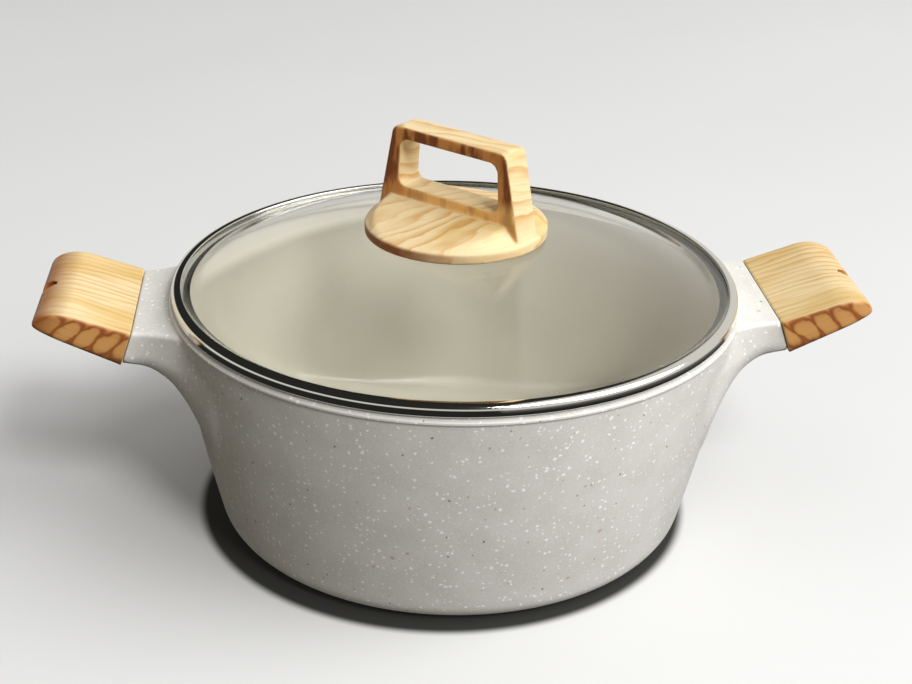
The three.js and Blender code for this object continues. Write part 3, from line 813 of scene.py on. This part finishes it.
blank_mesh = bpy.data.meshes.new("disc_blank")
holder = bpy.data.objects.new("disc_blank", blank_mesh)
bpy.context.scene.collection.objects.link(holder)
stamp = holder.modifiers.new("stamp", "NODES")
stamp.node_group = tree
for item in tree.interface.items_tree:
    if item.in_out == "INPUT":
        stamp[item.identifier] = disc_sizes[item.name]
stamped = holder.evaluated_get(bpy.context.evaluated_depsgraph_get())
disc_mesh = bpy.data.meshes.new_from_object(stamped)
bpy.data.objects.remove(holder)
plate = bpy.data.objects.new("induction_disc", disc_mesh)
bpy.context.scene.collection.objects.link(plate)
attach(plate, "pot")
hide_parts("induction_base_plate")

# ---- Glass ---------------------------------------------------------------------------------
# Domed tempered glass with a flat edge that the steel band is folded round, and one hole at
# the crown for the knob's screw.

band_bottom = pot_height + gap
band_thickness = 0.7 * MM
band_radius = rim_radius - 1 * MM
glass_thickness = 3.2 * MM
glass_radius = band_radius - band_thickness - gap
glass_low = band_bottom + band_thickness + gap
glass_high = glass_low + glass_thickness
dome_radius = glass_radius - 9 * MM
dome_rise = 25 * MM
dome_sphere = (dome_radius ** 2 + dome_rise ** 2) / (2 * dome_rise)
crown = glass_high + dome_rise
glass_hole = 4.5 * MM


def dome_height(radius):
    """Height of the outside of the glass, with a soft bend between its dome and its flat edge."""
    sphere = crown - dome_sphere + np.sqrt(dome_sphere ** 2 - radius ** 2) - glass_high
    soft = 0.7 * MM
    return glass_high + soft * np.logaddexp(0, sphere / soft)


def turned(outline, closed, sides=192):
    """Vertices and faces of an outline of (radius, height) turned about the pot's axis."""
    angles = np.linspace(0, 2 * math.pi, sides, endpoint=False)
    rings = []
    for radius, height in outline:
        if radius < 1e-7:
            rings.append(np.array([[0, 0, height]]))
        else:
            rings.append(np.stack([radius * np.cos(angles), radius * np.sin(angles),
                                   np.full(sides, height)], axis=1))
    return wrapped(rings, closed)


clear_glass, web = finish("clear_glass")
glass = web.add("ShaderNodeBsdfPrincipled", None, {
    "Base Color": (0.965, 0.97, 0.955, 1), "Roughness": 0.0, "IOR": 1.4, "Transmission Weight": 1.0})
passing = web.add("ShaderNodeBsdfTransparent", None, {"Color": (0.965, 0.965, 0.95, 1)})
shadow_ray = web.add("ShaderNodeLightPath", None, None, output=1)
diffuse_ray = web.add("ShaderNodeLightPath", None, None, output=2)
lit_through = shadow_ray.math("MAXIMUM", shadow_ray, diffuse_ray)
glazed = web.add("ShaderNodeMixShader", None, {0: lit_through, 1: glass, 2: passing})
web.add("ShaderNodeOutputMaterial", None, {"Surface": glazed})
reach = np.concatenate([np.linspace(glass_hole, dome_radius - 8 * MM, 40),
                        np.linspace(dome_radius - 7 * MM, glass_radius - 2 * MM, 24)])
upper = np.stack([reach, dome_height(reach)], axis=1)
lower = upper - np.array([0, glass_thickness])
ground = 1.1 * MM
edge = rounded([(glass_radius - 2 * MM, glass_low, 0), (glass_radius, glass_low, 0.8 * MM),
                (glass_radius, glass_high, ground), (glass_radius - 2 * MM, glass_high, 0)])
vertices, faces = turned(np.concatenate([lower[:-1], edge, upper[-2::-1]]), closed=True)
piece("lid_glass", vertices, faces, [clear_glass], "lid", "lid_glass", "glass_lid")

# ---- Rim band ------------------------------------------------------------------------------
# One strip of polished stainless steel, folded round the edge of the glass, with a skirt below
# that keeps the lid centred in the rim.

skirt_outer = rim_radius - wall_thickness - 0.8 * MM
skirt_inner = skirt_outer - band_thickness
skirt_foot = band_bottom - 4.8 * MM
band_top = glass_high + gap + band_thickness
band_inner = band_radius - band_thickness
top_inner = band_radius - 4.2 * MM
under_inner = band_radius - 8.3 * MM
polished, web = finish("polished_steel")
place = object_place(web)
haze = web.noise(place, 900.0, 3.0)
coat(web, Base_Color=(0.80, 0.79, 0.76, 1), Metallic=1.0, Roughness=0.05 + haze * 0.07)
fold = 2.2 * MM
outline = rounded([
    (skirt_inner, band_bottom + band_thickness, 0),
    (skirt_inner, skirt_foot, 0.3 * MM),
    (skirt_outer, skirt_foot, 0.3 * MM),
    (skirt_outer, band_bottom, 0.2 * MM),
    (band_radius, band_bottom, 0.9 * MM),
    (band_radius, band_top, fold),
    (top_inner, band_top, 0.3 * MM),
    (top_inner, glass_high + gap, 0.2 * MM),
    (band_inner - 0.5 * MM, glass_high + gap, 0.6 * MM),
    (band_inner, band_bottom + band_thickness, 0),
    (under_inner, band_bottom + band_thickness, 0.2 * MM),
    (under_inner, band_bottom, 0.2 * MM),
    (skirt_inner - 0.01 * MM, band_bottom, 0),
], closed=True)
vertices, faces = turned(outline[1:], closed=True, sides=256)
piece("rim_band", vertices, faces, [polished], "lid", "band_steel", "lid_rim_band")

# ---- Knob ----------------------------------------------------------------------------------
# Moulded resin in one piece: a round base with a flat slope up each side to a loop for the
# fingers, whose ends lean in. It is hollow below, with a boss for the brass insert, and covered in
# wood film.

knob_turn = math.radians(-43)
knob_foot = crown - dome_sphere + math.sqrt(dome_sphere ** 2 - (39.2 * MM) ** 2) + gap
knob_radius = 39.2 * MM
knob_rim = 4.6 * MM
knob_shoulder = 11.4 * MM
knob_height = 42.3 * MM
loop_half_length = 29.9 * MM
loop_lean = 6.4 / 30.7
loop_half_width = 7 * MM
window_half_length = 25.4 * MM
window_low = 16.2 * MM
window_high = 36.8 * MM
boss_radius = 9 * MM
boss_foot = crown + 1.6 * MM - knob_foot


def knob_field(u, v, w):
    """Negative inside the knob: u along the loop, v across it and w up from the base's foot."""
    radius = np.hypot(u, v)
    disc = meet(radius - knob_radius, w - knob_rim, 1.1 * MM)
    slope = (knob_shoulder - knob_rim) / (knob_radius - 1.5 * MM - loop_half_width)
    facet = (w - knob_shoulder + (np.abs(v) - loop_half_width) * slope) * 0.97
    flank = (w - knob_rim - (knob_radius - 0.9 * MM - radius)) * 0.71
    mound = meet(facet, flank, 0.6 * MM)
    mound = np.maximum(mound, radius - knob_radius + 0.6 * MM)
    base = join(disc, mound, 0.4 * MM)
    ends = (np.abs(u) - loop_half_length - (knob_height - w) * loop_lean) * 0.98
    face = meet(ends, w - knob_height, 3 * MM)
    loop = meet(face, np.abs(v) - loop_half_width, 1.1 * MM)
    legs = meet(np.abs(u) - window_half_length - (window_high - w) * 0.06, np.abs(
        w - (window_low + window_high) / 2) - (window_high - window_low) / 2, 4 * MM)
    loop = meet(loop, -legs, 0.9 * MM)
    solid = join(base, loop, 0.9 * MM)
    solid = meet(solid, -legs - 0.2 * MM * (w < window_low - MM), 0.5 * MM)
    dome = np.hypot(radius, w + knob_foot - crown + dome_sphere) - dome_sphere - gap
    solid = meet(solid, -dome, 0.4 * MM)
    hollow = np.maximum(np.maximum(radius - knob_radius + 5.5 * MM, boss_radius - radius),
                        w - 3.2 * MM)
    solid = meet(solid, -hollow, 0.5 * MM)
    under_boss = np.maximum(radius - boss_radius - MM, w - boss_foot)
    pocket = np.maximum(radius - 5 * MM, w - boss_foot - 7.6 * MM)
    return np.maximum(np.maximum(solid, -under_boss), -pocket)


bar_dark = (0.19, 0.05, 0.010, 1)
bar_tan = (0.56, 0.235, 0.06, 1)
bar_pale = (0.86, 0.50, 0.17, 1)


def ribbed(web, grain):
    """Red-brown bars across the long faces of the loop, pale along the foot of it."""
    along = web.add("ShaderNodeSeparateXYZ", None, {0: grain}, output=0)
    height = web.add("ShaderNodeSeparateXYZ", None, {0: grain}, output=2)
    bars = web.noise(web.stretched(grain, 170, 170, 50), 1.0, 3.0).between(0.40, 0.60)
    tone = web.mix(bars, bar_dark, bar_tan)
    foot = (1 - height.between(16 * MM, 24 * MM)) * along.between(-26 * MM, -18 * MM)
    return web.mix(foot * (0.55 + 0.4 * bars), tone, bar_pale)


knob_film = wood_film("knob_wood_film", 8 * MM, 3.6, 0.14, ribbed)
knob_step = 0.66 * MM
knob_room = 41 * MM
points, quads = moulded(knob_field, (-knob_room, -knob_room, -3 * MM),
                        (knob_room, knob_room, 44 * MM), knob_step)
outward = facing(knob_field, points)
turn = np.array([[math.cos(knob_turn), -math.sin(knob_turn), 0],
                 [math.sin(knob_turn), math.cos(knob_turn), 0], [0, 0, 1]])
made = piece("knob_moulding", points @ turn.T + np.array([0, 0, knob_foot]), quads, [knob_film], "lid",
             "wood_look", "knob")
u, v, w = points.T
in_loop = (np.abs(v) < loop_half_width + 0.4 * MM) & (w > knob_rim + 1 * MM)
on_face = np.clip((np.abs(outward[:, 1]) - 0.55) / 0.3, 0, 1) * in_loop
on_end = (np.abs(outward[:, 0]) > 0.6) & in_loop
on_bar = (w > 35 * MM) & ~on_end & (on_face < 0.3)
printed = np.stack([0.39 * u + 0.92 * v, 0.92 * u - 0.39 * v, w], axis=1)
printed[on_bar] = np.stack([u + 0.25 * v, v - 0.25 * u, w * 0.3], axis=1)[on_bar]
printed[on_end] = np.stack([v, w + 0.2 * v, u * 0.3], axis=1)[on_end] + 0.05
printed[on_face > 0.3] = points[on_face > 0.3]
# Painted shade: the left part of the base's rim darkens to brown, on the side away from the light.
painted_rim_shade = np.clip((-0.73 * u - 0.68 * v + 8 * MM) / (36 * MM), 0, 1)
painted_rim_shade = painted_rim_shade * np.clip((knob_rim - 0.2 * MM - w) / MM, 0, 1)
note(made, "grain", printed)
note(made, "side", on_face)
note(made, "end", painted_rim_shade)

# ---- Knob fixings --------------------------------------------------------------------------
# A brass insert in the boss, a silicone washer on each side of the glass, and a steel washer
# under the screw's head.

brass, web = finish("machined_brass")
cut = web.noise(web.stretched(object_place(web), 400, 400, 4000), 1.0, 2.0)
coat(web, Base_Color=web.mix(cut, (0.62, 0.42, 0.14, 1), (0.80, 0.60, 0.26, 1)), Metallic=1.0,
     Roughness=0.22 + cut * 0.12)
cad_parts["knob_insert"].material_slots[0].material = brass
silicone, web = finish("white_silicone")
bloom = web.noise(object_place(web), 500.0, 3.0)
coat(web, Base_Color=web.mix(bloom, (0.72, 0.71, 0.68, 1), (0.80, 0.79, 0.76, 1)),
     Roughness=0.5 + bloom * 0.15, Subsurface_Weight=0.1)
for node in ("knob_upper_gasket", "knob_lower_gasket"):
    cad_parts[node].material_slots[0].material = silicone
